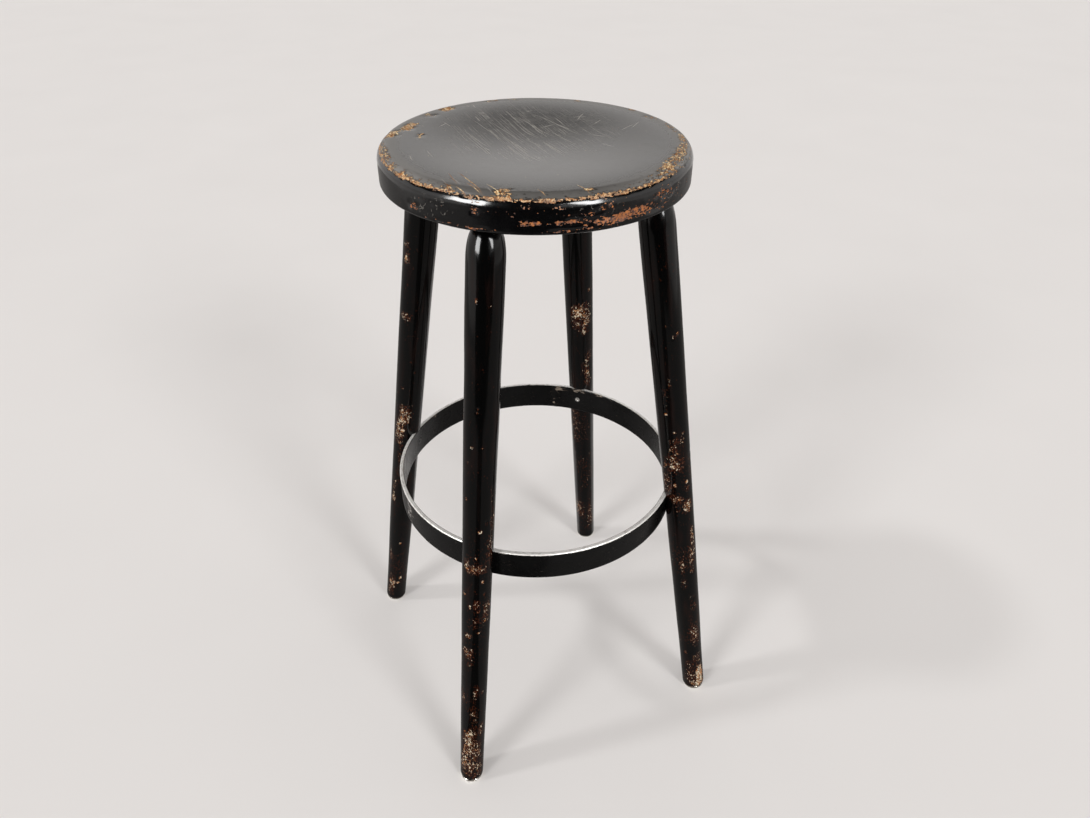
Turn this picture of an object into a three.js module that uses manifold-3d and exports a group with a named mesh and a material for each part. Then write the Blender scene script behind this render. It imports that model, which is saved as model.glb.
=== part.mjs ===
// A four-legged bar stool: a round dished wooden seat on four splayed turned legs,
// braced by a flat steel hoop that is let into the legs and screwed to them from inside.
// Millimetres and degrees, +Z up. The origin is on the floor, under the middle of the seat.
import * as THREE from "three";
import { mergeVertices } from "three/addons/utils/BufferGeometryUtils.js";
import Module from "manifold-3d";

const wasm = await Module();
wasm.setup();

// Seat
const seatHeight = 770; // floor to the top of the rim
const seatDiameter = 324;
const seatThickness = 37;
const rimRound = 13.5; // rounding between the side and the top
const underRound = 3; // rounding between the side and the underside
const rimLand = 3.5; // level strip between the rounding and the dish
const dishDepth = 8;

// Legs
const legInset = 33.5; // edge of the seat to a leg's axis, at the underside of the seat
const splayAngle = 9.1; // lean of each leg from upright
const footDiameter = 29.4;
const shoulderDiameter = 39.4;
const legSwell = 0.5; // how far the shaft stands outside a straight taper at its middle
const shoulderHeight = 32;
const neckHeight = 8; // bare tenon between the shoulder and the seat
const tenonDiameter = 22;
const tenonBevel = 1.5;
const tenonCover = 12; // wood left over the tenon's end
const footRound = 4;

// Foot ring
const ringHeight = 351; // floor to the top edge of the band
const bandWidth = 37;
const bandThickness = 5;
const bandEdge = 0.7; // broken edge of the rolled bar
const housingDepth = 2.6; // how deep the band is let into each leg
const housingPlay = 0.5; // room above and below the band in its housing

// Ring screws
const screwHeadDiameter = 8.4;
const screwDiameter = 4;
const screwLength = 22;
const screwPoint = 5;
const recessSpan = 4.2;
const recessWidth = 1.1;
const recessDepth = 1.5;

// Glides
const glideDiameter = 27.5;
const glideHeight = 4;
const glideRound = 2;
const glideWall = 1;
const nailHeadInset = 3.5; // side of the glide to the side of the nail's head
const nailDiameter = 3;
const nailLength = 20; // under the head
const nailPoint = 4;

const fitGap = 0.3; // clearance wherever one piece sits in or on another

// Facets round each turned form, and steps along its curves
const seatSides = 96;
const ringSides = 96;
const legSides = 32;
const smallSides = 20;
const dishSteps = 8;
const rimSteps = 6;
const shaftSteps = 6;
const shoulderSteps = 7;
const smallSteps = 2;

// One corner for each leg, in order round the stool, as seen by someone who faces it along +Y
const corners = ["front_left", "front_right", "back_right", "back_left"].map((name, index, all) => ({
  name,
  azimuth: (2 * Math.PI * (index + 0.5)) / all.length - Math.PI,
}));

// Places that follow from the sizes above
const seatRadius = seatDiameter / 2;
const underside = seatHeight - seatThickness;
const splay = THREE.MathUtils.degToRad(splayAngle);
const footLevel = glideHeight + fitGap;
const ringBottom = ringHeight - bandWidth;
const ringMiddle = ringHeight - bandWidth / 2;
const tenonRadius = tenonDiameter / 2;

// Distances along a leg's axis, from where the axis meets the floor
const axisToSeat = underside / Math.cos(splay);
const tenonEnd = axisToSeat + seatThickness - tenonCover;
const neckStart = axisToSeat - neckHeight;
const shoulderStart = neckStart - shoulderHeight;
const footFlat = footDiameter / 2 - footRound;
const footEnd = footLevel / Math.cos(splay) - footFlat * Math.tan(splay);

// The hoop is as large as the legs and its housings make it.
const ringOuter = legInnerFace(ringMiddle) + housingDepth;
const ringInner = ringOuter - bandThickness;

// Where pieces lie in a corner's group, whose X axis runs outwards from the middle of the stool.
// tilt turns a piece about Y.
const middlePlace = { position: [0, 0, 0], tilt: 0 };
const legPlace = { position: [legAxisRadius(0), 0, 0], tilt: -splay };
const screwPlace = { position: [ringInner, 0, ringMiddle], tilt: Math.PI / 2 };
const glidePlace = { position: [legAxisRadius(footLevel), 0, 0], tilt: 0 };

const blackPaint = new THREE.MeshStandardMaterial({ color: 0x1b1a19, roughness: 0.35, metalness: 0 });
const blackedSteel = new THREE.MeshStandardMaterial({ color: 0x1d1d1c, roughness: 0.45, metalness: 0.2 });
const screwSteel = new THREE.MeshStandardMaterial({ color: 0xa8a49c, roughness: 0.4, metalness: 1 });
const platedSteel = new THREE.MeshStandardMaterial({ color: 0xc9c8c4, roughness: 0.25, metalness: 1 });

// Distance of a leg's axis from the middle of the stool, at a height above the floor.
function legAxisRadius(height) {
  return seatRadius - legInset + (underside - height) * Math.tan(splay);
}

// Radius of the turned shaft at a distance along its axis: a straight taper with a slight swell.
function shaftRadius(along) {
  const share = (along - footEnd) / (shoulderStart - footEnd);
  const taper = THREE.MathUtils.lerp(footDiameter, shoulderDiameter, share) / 2;
  return taper + legSwell * 4 * share * (1 - share);
}

// Distance of a leg's inner side from the middle of the stool, at a height above the floor.
function legInnerFace(height) {
  return legAxisRadius(height) - shaftRadius(height / Math.cos(splay)) / Math.cos(splay);
}

// Points of an arc about (x, y), between two angles in degrees.
function arc(x, y, radius, from, to, steps) {
  return Array.from({ length: steps + 1 }, (_, i) => {
    const angle = THREE.MathUtils.degToRad(THREE.MathUtils.lerp(from, to, i / steps));
    return [x + radius * Math.cos(angle), y + radius * Math.sin(angle)];
  });
}

// A solid of revolution about Z from a profile of [radius, height] pairs.
function turned(profile, sides) {
  const points = profile.map(([radius, height]) => new THREE.Vector2(radius, height));
  return new THREE.LatheGeometry(points, sides).rotateX(Math.PI / 2);
}

// A plain round bar along Z, which the holes and housings are cut with.
function bar(radius, from, to, sides) {
  return turned([[0, from], [radius, from], [radius, to], [0, to]], sides);
}

// A geometry as a solid that can be cut.
function solid(geometry) {
  const bare = geometry.clone();
  bare.deleteAttribute("normal");
  bare.deleteAttribute("uv");
  const merged = mergeVertices(bare);
  const vertProperties = merged.getAttribute("position").array;
  const triVerts = Uint32Array.from(merged.index.array);
  return new wasm.Manifold(new wasm.Mesh({ numProp: 3, vertProperties, triVerts }));
}

// A geometry with each of the given geometries cut out of it.
function cut(geometry, cutters) {
  const left = cutters.reduce((body, cutter) => body.subtract(solid(cutter)), solid(geometry));
  const { vertProperties, triVerts } = left.getMesh();
  const result = new THREE.BufferGeometry();
  result.setAttribute("position", new THREE.BufferAttribute(vertProperties, 3));
  result.setIndex(new THREE.BufferAttribute(triVerts, 1));
  return result;
}

// The matrix of a place in a corner's group.
function placeMatrix({ position, tilt }) {
  return new THREE.Matrix4().makeRotationY(tilt).setPosition(...position);
}

// Copies of a cutter at a place in every corner's group, in the stool's own frame.
function atEachCorner(makeCutter, place) {
  return corners.map(({ azimuth }) => makeCutter().applyMatrix4(placeMatrix(place)).rotateZ(azimuth));
}

// The turned board: flat below, rounded at the side, with a dish that fades out at the rim.
function seatGeometry() {
  const dishRadius = seatRadius - rimRound - rimLand;
  const profile = [
    [0, underside],
    ...arc(seatRadius - underRound, underside + underRound, underRound, -90, 0, smallSteps),
    ...arc(seatRadius - rimRound, seatHeight - rimRound, rimRound, 0, 90, rimSteps),
  ];
  for (let i = 0; i <= dishSteps; i++) {
    const out = 1 - i / dishSteps;
    profile.push([dishRadius * out, seatHeight - dishDepth * (1 - out * out) ** 2]);
  }
  return cut(turned(profile, seatSides), atEachCorner(socketCutter, legPlace));
}

// The blind socket of a tenon, along the leg's axis.
function socketCutter() {
  return bar(tenonRadius + fitGap, neckStart, tenonEnd + fitGap, legSides);
}

// The leg as it comes off the lathe, along Z, with its foot at the bottom and its tenon on top.
function legBlank() {
  const profile = [[0, footEnd], ...arc(footFlat, footEnd + footRound, footRound, -90, 0, smallSteps)];
  for (let i = 1; i <= shaftSteps; i++) {
    const along = THREE.MathUtils.lerp(footEnd + footRound, shoulderStart, i / shaftSteps);
    profile.push([shaftRadius(along), along]);
  }
  const shoulderWidth = shoulderDiameter / 2 - tenonRadius;
  arc(0, 0, 1, 0, 90, shoulderSteps).slice(1).forEach(([out, up]) => {
    profile.push([tenonRadius + shoulderWidth * out, shoulderStart + shoulderHeight * up]);
  });
  profile.push([tenonRadius, tenonEnd - tenonBevel], [tenonRadius - tenonBevel, tenonEnd], [0, tenonEnd]);
  return turned(profile, legSides);
}

// The finished leg: its foot cut level, housed for the hoop, and drilled for the screw and the nail.
function legGeometry() {
  const toLathe = placeMatrix(legPlace).invert();
  const cutters = [levelCutter(), housingCutter(), screwHoleCutter(), nailHoleCutter()];
  return cut(legBlank(), cutters.map((cutter) => cutter.applyMatrix4(toLathe)));
}

// Everything under the height at which the foot is cut level.
function levelCutter() {
  const size = 2 * footDiameter;
  return new THREE.BoxGeometry(size, size, size).translate(legAxisRadius(0), 0, footLevel - size / 2);
}

// The room that the band takes out of the legs.
function housingCutter() {
  return bar(ringOuter + fitGap, ringBottom - housingPlay, ringHeight + housingPlay, ringSides);
}

// The hole of a ring screw in the leg.
function screwHoleCutter() {
  const hole = bar(screwDiameter / 2 + fitGap, 0, screwLength + fitGap, smallSides);
  return hole.applyMatrix4(placeMatrix(screwPlace));
}

// The hole of a glide's nail, up into the foot.
function nailHoleCutter() {
  const hole = bar(nailDiameter / 2 + fitGap, 0, glideHeight + nailLength + fitGap, smallSides);
  return hole.applyMatrix4(placeMatrix(glidePlace));
}

// The hoop: a flat bar with broken edges, countersunk from inside at each leg.
function ringGeometry() {
  const profile = [
    [ringInner + bandEdge, ringBottom],
    [ringOuter - bandEdge, ringBottom],
    [ringOuter, ringBottom + bandEdge],
    [ringOuter, ringHeight - bandEdge],
    [ringOuter - bandEdge, ringHeight],
    [ringInner + bandEdge, ringHeight],
    [ringInner, ringHeight - bandEdge],
    [ringInner, ringBottom + bandEdge],
    [ringInner + bandEdge, ringBottom],
  ];
  return cut(turned(profile, ringSides), atEachCorner(countersinkCutter, screwPlace));
}

// The countersunk hole that a ring screw passes through.
function countersinkCutter() {
  const head = screwHeadDiameter / 2 + fitGap;
  const shank = screwDiameter / 2 + fitGap;
  const profile = [
    [0, -head],
    [head, -head],
    [head, 0],
    [shank, head - shank],
    [shank, screwLength],
    [0, screwLength],
  ];
  return turned(profile, smallSides);
}

// A countersunk wood screw with a cross recess, its head's face at 0 and its point up.
function screwGeometry() {
  const head = screwHeadDiameter / 2;
  const shank = screwDiameter / 2;
  const profile = [
    [0, 0],
    [head, 0],
    [shank, head - shank],
    [shank, screwLength - screwPoint],
    [0, screwLength],
  ];
  const slot = new THREE.BoxGeometry(recessSpan, recessWidth, 2 * recessDepth);
  return cut(turned(profile, smallSides), [slot, slot.clone().rotateZ(Math.PI / 2)]);
}

// The pressed cup of a glide, open upwards.
function glideCapGeometry() {
  const radius = glideDiameter / 2;
  const flat = radius - glideRound;
  const profile = [
    [0, 0],
    ...arc(flat, glideRound, glideRound, -90, 0, smallSteps),
    [radius, glideHeight],
    [radius - glideWall, glideHeight],
    ...arc(flat, glideRound, glideRound - glideWall, 0, -90, smallSteps),
    [0, glideWall],
  ];
  return turned(profile, smallSides);
}

// The nail that the cup is pressed round: its head fills the cup and its point is up.
function glideNailGeometry() {
  const bottom = glideWall + fitGap;
  const head = glideDiameter / 2 - nailHeadInset;
  const shank = nailDiameter / 2;
  const tip = glideHeight + nailLength;
  const profile = [
    [0, bottom],
    [head, bottom],
    [head, glideHeight],
    [shank, glideHeight],
    [shank, tip - nailPoint],
    [0, tip],
  ];
  return turned(profile, smallSides);
}

// A named mesh at a place in its group.
function piece(name, geometry, material, place) {
  const mesh = new THREE.Mesh(geometry, material);
  mesh.name = name;
  mesh.position.set(...place.position);
  mesh.rotation.y = place.tilt;
  return mesh;
}

const shapes = {
  leg: legGeometry(),
  screw: screwGeometry(),
  glideCap: glideCapGeometry(),
  glideNail: glideNailGeometry(),
};

// One leg with the screw and the glide that belong to it.
function cornerGroup({ name, azimuth }) {
  const group = new THREE.Group();
  group.rotation.z = azimuth;
  group.add(
    piece("leg_" + name, shapes.leg, blackPaint, legPlace),
    piece("ring_screw_" + name, shapes.screw, screwSteel, screwPlace),
    piece("glide_cap_" + name, shapes.glideCap, platedSteel, glidePlace),
    piece("glide_nail_" + name, shapes.glideNail, platedSteel, glidePlace),
  );
  return group;
}

const stool = new THREE.Group();
stool.add(
  piece("seat", seatGeometry(), blackPaint, middlePlace),
  piece("foot_ring", ringGeometry(), blackedSteel, middlePlace),
  ...corners.map(cornerGroup),
);

export default stool;
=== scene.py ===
from functools import partial

import bpy
import numpy as np
from mathutils import Matrix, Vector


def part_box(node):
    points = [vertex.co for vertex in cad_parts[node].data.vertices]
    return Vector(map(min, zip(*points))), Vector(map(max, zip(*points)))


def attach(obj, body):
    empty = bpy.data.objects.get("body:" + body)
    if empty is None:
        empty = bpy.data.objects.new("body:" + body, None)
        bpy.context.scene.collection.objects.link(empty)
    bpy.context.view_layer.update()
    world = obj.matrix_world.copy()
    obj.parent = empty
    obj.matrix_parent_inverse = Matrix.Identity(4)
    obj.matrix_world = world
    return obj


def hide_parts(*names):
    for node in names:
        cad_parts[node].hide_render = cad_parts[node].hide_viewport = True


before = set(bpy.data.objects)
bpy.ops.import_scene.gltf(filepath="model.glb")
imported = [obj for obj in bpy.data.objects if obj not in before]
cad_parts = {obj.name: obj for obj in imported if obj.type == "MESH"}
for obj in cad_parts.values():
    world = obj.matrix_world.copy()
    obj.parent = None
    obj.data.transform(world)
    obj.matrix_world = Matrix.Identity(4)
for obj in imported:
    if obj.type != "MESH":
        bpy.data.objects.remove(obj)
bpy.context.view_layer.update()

MM = 0.001  # a millimetre in metres
PER_MM = 1 / MM  # scale of a pattern whose features are 1 mm wide

# The seat, the hoop and the glides, as far as the frame's boxes give them
seat_low, seat_high = (np.array(corner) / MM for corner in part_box("seat"))
hoop_low, hoop_high = (np.array(corner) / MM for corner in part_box("foot_ring"))
SEAT_RADIUS = seat_high[0]
SEAT_TOP = seat_high[2]
UNDERSIDE = seat_low[2]
HOOP_OUTER = hoop_high[0]
HOOP_TOP = hoop_high[2]
HOOP_BOTTOM = hoop_low[2]
HOOP_MIDDLE = (HOOP_TOP + HOOP_BOTTOM) / 2
GLIDE_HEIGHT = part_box("glide_cap_front_left")[1][2] / MM

# Seat
RIM_ROUND = 13.5
UNDER_ROUND = 3
RIM_LAND = 3.5
DISH_DEPTH = 8
DISH_RADIUS = SEAT_RADIUS - RIM_ROUND - RIM_LAND

# Legs
LEG_INSET = 33.5
SPLAY = np.radians(9.1)
FOOT_DIAMETER = 29.4
SHOULDER_DIAMETER = 39.4
LEG_SWELL = 0.5
SHOULDER_HEIGHT = 32
NECK_HEIGHT = 8
TENON_RADIUS = 11
TENON_BEVEL = 1.5
TENON_COVER = 12
FOOT_ROUND = 4
FOOT_KNOCKS = 60  # how far up shoes and brooms knock it

# Hoop and its screws
BAND_THICKNESS = 5
BAND_EDGE = 0.8
WORN_EDGE = 1.6  # rounding of its outer top corner, where shoes rest
HOUSING_PLAY = 0.5
SCREW_HEAD_RADIUS = 4.2
SCREW_CORE_RADIUS = 1.5
SCREW_THREAD_RADIUS = 2
SCREW_LENGTH = 22
SCREW_POINT = 5
SCREW_EDGE = 0.25  # rounding of the head's rim
PLAIN_SHANK = 3  # from the head's cone to the first thread
THREAD_PITCH = 1.75
RECESS_REACH = 2.1  # middle of the head to the end of an arm of the cross
RECESS_ARM = 1.1  # width of an arm
RECESS_DEPTH = 1.5

# How far the paint is worn off a ring round each screw's recess, from 0 to 1
BARE_SCREWS = {"front_left": 0.3, "front_right": 1, "back_right": 1, "back_left": 0.2}
BARE_RADIUS = 2.3
PAINTED_DEPTH = 1.8  # how far down a screw the paint has run

# Glides
GLIDE_RADIUS = 13.75
GLIDE_ROUND = 2
GLIDE_WALL = 1
NAIL_HEAD_INSET = 3.5
NAIL_RADIUS = 1.5
NAIL_LENGTH = 20
NAIL_POINT = 4

FIT_GAP = 0.3  # clearance wherever one piece sits in or on another

CORNERS = {"front_left": -135, "front_right": -45, "back_right": 45, "back_left": 135}

# Places that follow from the sizes
HOOP_INNER = HOOP_OUTER - BAND_THICKNESS
FOOT_LEVEL = GLIDE_HEIGHT + FIT_GAP
AXIS_TO_SEAT = UNDERSIDE / np.cos(SPLAY)
TENON_END = AXIS_TO_SEAT + (SEAT_TOP - UNDERSIDE) - TENON_COVER
NECK_START = AXIS_TO_SEAT - NECK_HEIGHT
SHOULDER_START = NECK_START - SHOULDER_HEIGHT
FOOT_FLAT = FOOT_DIAMETER / 2 - FOOT_ROUND
FOOT_END = FOOT_LEVEL / np.cos(SPLAY) - FOOT_FLAT * np.tan(SPLAY)

# Wear round the seat, most of it along a line on the rim's rounding: azimuth and half its length in
# degrees, distance inwards from that line and half its width in mm, and strength
WEAR_LINE = RIM_ROUND * np.radians(38)  # the line's distance from the foot of the rounding
SEAT_WEAR = (
    (0, 999, 0.6, 1.8, 0.3), (-115, 110, 0.4, 2, 0.48), (-120, 50, 0, 3.4, 0.15),
    (-110, 60, 3, 5, 0.12), (-110, 50, -9, 6, 0.22), (-175, 3.2, 4.4, 3.8, 0.95),
    (-166, 3.6, 3, 4.6, 0.85), (-159, 3.5, 3, 3.8, 0.5), (-152, 3.5, 4.5, 3.6, 0.37),
    (-145, 3, 5.3, 5, 0.55), (-133, 3.7, -3, 2.6, 0.5), (-126, 4, -0.5, 3, 0.2), (-125, 3.3, 9, 8, 1.1),
    (-110, 2.5, -0.8, 2.7, 0.3), (-113, 3.2, 0, 4.3, 0.18), (-96, 2.5, 9.6, 3, 1.22),
    (-93, 3, 1.2, 3.4, 0.61), (-84, 7, 2.8, 6, 0.24), (-70, 5.3, 5.3, 6, 0.43),
    (-61, 5.2, 8.5, 7, 0.79), (-53, 7, 12, 8, 0.98), (-40, 7.6, 11, 6.6, 1.04), (-24, 10, 9, 5, 0.92),
    (-9, 6, 11, 5, 0.73), (6, 4.8, 14, 7, 0.67), (19, 3, 11.6, 3.4, 1.1), (46, 2, 14, 6, 0.79),
    (76, 2.7, 14, 6, 0.76), (86, 4, 14, 6, 0.76), (109, 4, 17, 7, 1.4), (121, 3.5, 19, 8, 0.8),
    (139, 6, 21, 7, 1.5), (150, 5, 11, 7.6, 1.3), (151, 4.6, 41, 3.5, 0.95), (161, 5.4, 4, 4.4, 0.73),
    (173, 8.3, 5.8, 5, 1), (-159, 2.2, -22, 3.6, 1.04), (-134, 1.4, -12, 4.2, 0.83),
    (-134, 2.2, -29.5, 1.9, 0.83), (-122, 1.4, -13, 1.9, 0.55), (-118, 2.5, -5.5, 1.8, 0.61),
    (-107, 2.2, -6.4, 1.8, 0.7), (-116, 4.4, -21, 3.4, 1.1), (-104, 5.7, -20.4, 2.6, 1.15),
    (-100, 6.8, -14, 1.4, 0.66), (-106, 7, -28.7, 1.5, 0.9), (-91, 2.9, -10.7, 4.3, 0.55),
    (-90, 7.3, -22.3, 4.3, 1.21), (-80, 7.5, -21, 5.9, 0.99), (-92, 5, -28.7, 2.4, 0.66),
    (-98, 1.2, -26.7, 3.5, 0.66), (-67, 5.5, -10, 4.5, 0.68), (-62, 15, -20, 9, 0.44),
    (-141, 16, -28.6, 1, 0.83), (62, 14, -22, 2.6, 0.66), (118, 10, -20, 2.2, 0.61),
    (-20, 8, -22, 2.6, 0.68), (20, 12, -14, 5, 0.4),
)

# Places on the seat with pale curling scratches that leave the lacquer on, written the same way
SEAT_SCRAPES = (
    (-151, 9, -16, 9, 0.7), (-150, 5, 9, 8, 0.7), (-95, 8, -11, 6, 0.7), (-62, 9, -14, 9, 0.6),
)

# Long scratches on top of the seat, down to the wood or only pale: middle in mm, length, width and
# direction in degrees from +X
DEEP_SCRATCHES = (
    (-105, -89, 64, 1.5, -87), (-107, -103, 28, 1.4, -80), (-126, -90, 16, 1.6, -77),
    (-118, -101, 18, 1.1, -70), (-92, -112, 23, 1.3, -79), (-19, -146, 25, 1.2, -79),
    (-57, -139, 16, 1.3, -82), (-117, -76, 39, 0.9, -95),
)
PALE_SCRATCHES = (
    (-116, -85, 27, 1.2, -90), (-96, -115, 12, 1.5, -86), (-127, -79, 18, 1.2, -89),
    (-22, 140, 14, 1.4, -82), (-15, 137, 20, 1.4, -94), (-27, 94, 19, 1.6, -91),
    (-135, -6, 18, 1.6, -98), (-113, 2, 23, 1.2, -91), (-65, 88, 21, 1.3, -79), (-70, 87, 19, 1.2, 41),
    (37, 97, 10, 1.5, -23), (80, 56, 29, 1.4, 43), (79, 56, 17, 1.4, -20), (88, 31, 20, 1.4, 30),
    (36, 48, 21, 1.6, 6), (51, 37, 26, 1.5, -73), (53, 53, 33, 1.2, -90), (107, -2, 26, 1.5, 23),
    (118, 0, 28, 1.3, 37), (70, -6, 22, 1.3, -62), (64, -38, 23, 1.2, -73), (14, -14, 58, 1.3, -87),
    (-19, -3, 67, 1.3, -90), (-18, 17, 67, 1.2, -82), (9, 39, 34, 1.1, -83), (2, 8, 39, 1.1, -77),
    (-51, 7, 11, 1.5, -77), (-11, 45, 87, 1.1, -82), (23, 54, 99, 1, -81), (47, 48, 94, 1.1, -77),
    (36, 7, 62, 1.1, -83), (-29, 60, 78, 1, -83), (-51, 40, 65, 1, -83), (-20, -32, 54, 1.1, -81),
)

# Fine scratches all over the seat, along its grain: a turn in degrees that gives each kind a pattern of
# its own, their length in mm, and the level that the pattern has to pass
FINE_SCRATCHES = ((-5, 120, 0.6), (3, 90, 0.62), (-13, 60, 0.64), (42, 22, 0.68), (-60, 16, 0.69))

# The scuffed middle of the seat: its centre and radius in mm
SCUFF_X, SCUFF_Y, SCUFF_RADIUS = 5, 30, 84
# Painted sheen inside the wear line, a lighter grey that stands in for reflected light: the width
# that it covers, and the width over which it thins out, in mm
SHEEN_WIDTH, SHEEN_FADE = 6, 18
# Where the painted sheen is mostly left off, on the side that faces the camera: azimuth and half length
# in degrees, and share
CAMERA_SIDE_AZIMUTH, CAMERA_SIDE_HALF_LENGTH, CAMERA_SIDE_SHARE = -114, 42, 0.75

# Wear on each leg: distance up its axis, angle round it from the outward side in degrees, half its
# length and half its width in mm, and strength
LEG_WEAR = {
    "front_left": (
        (667, -2, 2.8, 1.6, 1.74), (710, -8, 2, 1.2, 0.81), (662, 40, 1.6, 1.2, 1.3),
        (551, 12, 1.2, 1.2, 1.3), (547, 9, 1.6, 2.4, 0.61), (505, -7, 1.6, 1.6, 1.45),
        (485, -27, 1.6, 3.2, 1.08), (439, -27, 2, 2.4, 1.59), (506, 29, 1.2, 1.2, 0.81),
        (443, 80, 15, 6, 0.5), (412, 84, 19, 5.5, 0.62), (400, 30, 2.8, 2.8, 1.45),
        (410, 52, 3.6, 1.6, 0.81), (375, 73, 18, 6, 0.72), (353, -27, 9.5, 4.5, 0.72),
        (347, 18, 7.5, 12, 0.62), (363, 17, 1.6, 1.2, 1.45), (330, 44, 2.8, 2.4, 1.3),
        (309, -29, 1.6, 2.8, 1.3), (312, 54, 2.4, 1.6, 1.3), (293, -3, 2.8, 1.6, 1.3),
        (299, 24, 7.5, 4, 0.55), (288, 32, 2.8, 2.4, 0.81), (284, 71, 23, 6, 0.62),
        (266, 16, 12, 13, 0.3), (249, -10, 4.5, 5, 0.85), (255, 37, 2, 1.6, 1.3),
        (223, -7, 7, 7.5, 0.6), (207, -2, 13, 4, 0.5), (162, -34, 31, 4, 0.42), (159, 32, 13, 4, 0.75),
        (157, 64, 2.8, 2, 0.81), (109, 23, 30, 6.5, 0.55), (95, 65, 11, 4, 0.75),
        (83, -8, 14, 7.5, 0.66), (62, 24, 13, 14, 0.62), (31, 23, 26, 21, 0.72),
        (395, -140, 22, 12, 0.6), (80, 150, 40, 10, 0.4),
    ),
    "front_right": (
        (596, -75, 2.4, 1.6, 0.81), (584, -34, 2.4, 1.6, 1.3), (581, -50, 2.8, 1.6, 1.3),
        (523, -77, 11, 2.5, 0.52), (499, -93, 19, 5, 0.4), (482, -97, 1.6, 1.6, 1.3),
        (456, -72, 2, 2.4, 1.45), (453, -37, 1.6, 1.6, 1.3), (444, -55, 6.5, 7, 0.78),
        (439, -84, 10, 5, 0.62), (418, -64, 22, 9.5, 0.58), (413, -102, 15, 11, 0.62),
        (377, -124, 23, 8.5, 0.55), (380, -36, 2.8, 2.4, 1.3), (378, -86, 3.2, 2, 1.3),
        (369, -32, 6.5, 3.5, 0.6), (355, -81, 7, 7, 0.85), (344, -35, 12, 7.5, 0.75),
        (340, -57, 8, 12, 0.5), (294, -25, 18, 4, 0.85), (252, -29, 23, 6.5, 0.6),
        (241, -82, 14, 3.5, 0.5), (212, -79, 11, 6, 0.66), (232, -38, 5, 3.5, 0.7),
        (175, -45, 17, 6.5, 0.6), (113, -43, 31, 8, 0.55), (78, -105, 3.6, 2.4, 1.22),
        (66, -43, 10, 7.5, 0.72), (45, -86, 29, 6, 0.42), (29, -31, 23, 7, 1.2), (8, -63, 7.5, 8, 0.6),
        (400, 10, 22, 12, 0.6), (90, 60, 40, 10, 0.4),
    ),
    "back_right": (
        (534, -114, 3.2, 3.2, 0.81), (504, -149, 13, 16, 1), (491, -175, 14, 9, 0.66),
        (485, -127, 10, 7, 0.92), (473, -164, 12, 10, 0.6), (468, -142, 9, 3, 0.85),
        (420, -122, 11, 7, 0.8), (399, -137, 15, 6.5, 0.6), (381, -127, 21, 5.5, 0.55),
        (457, -114, 27, 5.5, 0.35), (436, 180, 5.5, 3, 0.5), (75, -126, 54, 4.5, 0.45),
        (216, -124, 3.6, 2.4, 0.81), (300, 150, 110, 8, 0.3), (80, 150, 30, 10, 0.5),
        (400, 20, 26, 12, 0.6),
    ),
    "back_left": (
        (635, 60, 15, 6, 0.66), (624, 71, 7, 5, 0.85), (594, 67, 25, 6, 0.3), (546, 76, 6, 9, 0.85),
        (480, 114, 2, 2.4, 0.94), (464, 129, 2.4, 1.6, 0.94), (436, 83, 2.4, 2, 0.94),
        (425, 62, 2.4, 2.8, 0.81), (402, 93, 8.5, 12, 0.78), (387, 100, 10, 9.5, 0.9),
        (368, 79, 16, 8, 0.72), (365, 97, 2, 2.4, 1.45), (346, 74, 12, 8, 0.7), (309, 89, 37, 4, 0.42),
        (246, 65, 23, 5, 0.6), (232, 66, 6, 4.5, 0.85), (114, 59, 22, 5.5, 0.6),
        (35, 79, 31, 6.5, 0.66), (56, 135, 3.6, 2, 1.22), (45, 122, 2.8, 2.4, 1.3),
        (138, 121, 2.8, 2, 1.45), (395, 0, 24, 12, 0.6), (70, -60, 40, 10, 0.4),
    ),
}

# Wear along the hoop's top edge: azimuth and half length in degrees, and strength
HOOP_WEAR = (
    (0, 999, 0.78), (-114, 80, 0.34), (2, 30, 0.34), (114, 20, 0.34),
)
# Chips elsewhere on it: azimuth and half length in degrees, distance from its outer top corner over
# the top and down the inner face, or less than 0 down the outer face, half the width, and strength
HOOP_CHIPS = (
    (-177, 3.4, -18, 18, 0.45), (174, 9, 24, 19, 0.6), (54, 2.5, 9, 3.4, 0.6), (45, 3.5, 8, 3, 0.6),
    (34, 2.5, 6, 2.4, 0.6), (57, 0.5, 34, 1.4, 1), (122, 2, 7, 2, 0.5),
)
WELD_AZIMUTH = 56  # where the bar's two ends meet
WELD_ROUGH = 2.2  # degrees to each side over which the paint is rough

# Unevenness that hand work leaves: its height and its shortest wave in mm
SEAT_RIPPLE, SEAT_WAVE = 0.1, 60
LEG_RIPPLE, LEG_WAVE = 0.14, 70
HOOP_RIPPLE, HOOP_WAVE = 0.1, 90  # of its bend
BAND_RIPPLE, BAND_WAVE = 0.05, 14  # of its skin
# Dents where the lacquer is worn: their depth and their shortest wave in mm
SEAT_DENT, SEAT_DENT_WAVE = 0.5, 8
LEG_DENT, LEG_DENT_WAVE = 0.4, 9
# The weld's bead: its height in mm and half its width in degrees, and the step of the top edge beside
# it: half its height in mm and the degrees over which it fades
WELD_HEIGHT, WELD_HALF_WIDTH = 0.3, 0.9
WELD_STEP, WELD_STEP_FADE = 0.35, 14

# How finely each piece is turned: points round it
SEAT_COLUMNS = 640
HOOP_COLUMNS = 720
LEG_COLUMNS = 96
SMALL_COLUMNS = 64
WAVES = 12  # sine waves in an uneven surface


def straight(start, end, steps):
    """Points along a straight line of a profile, without its end: start + t (end - start)."""
    return np.linspace(start, end, steps, endpoint=False)


def arc(x, z, radius, start, end, steps):
    """Points of an arc about (x, z) from one angle to another in degrees, without its end."""
    angle = np.radians(np.linspace(start, end, steps, endpoint=False))
    return np.column_stack([x + radius * np.cos(angle), z + radius * np.sin(angle)])


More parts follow.
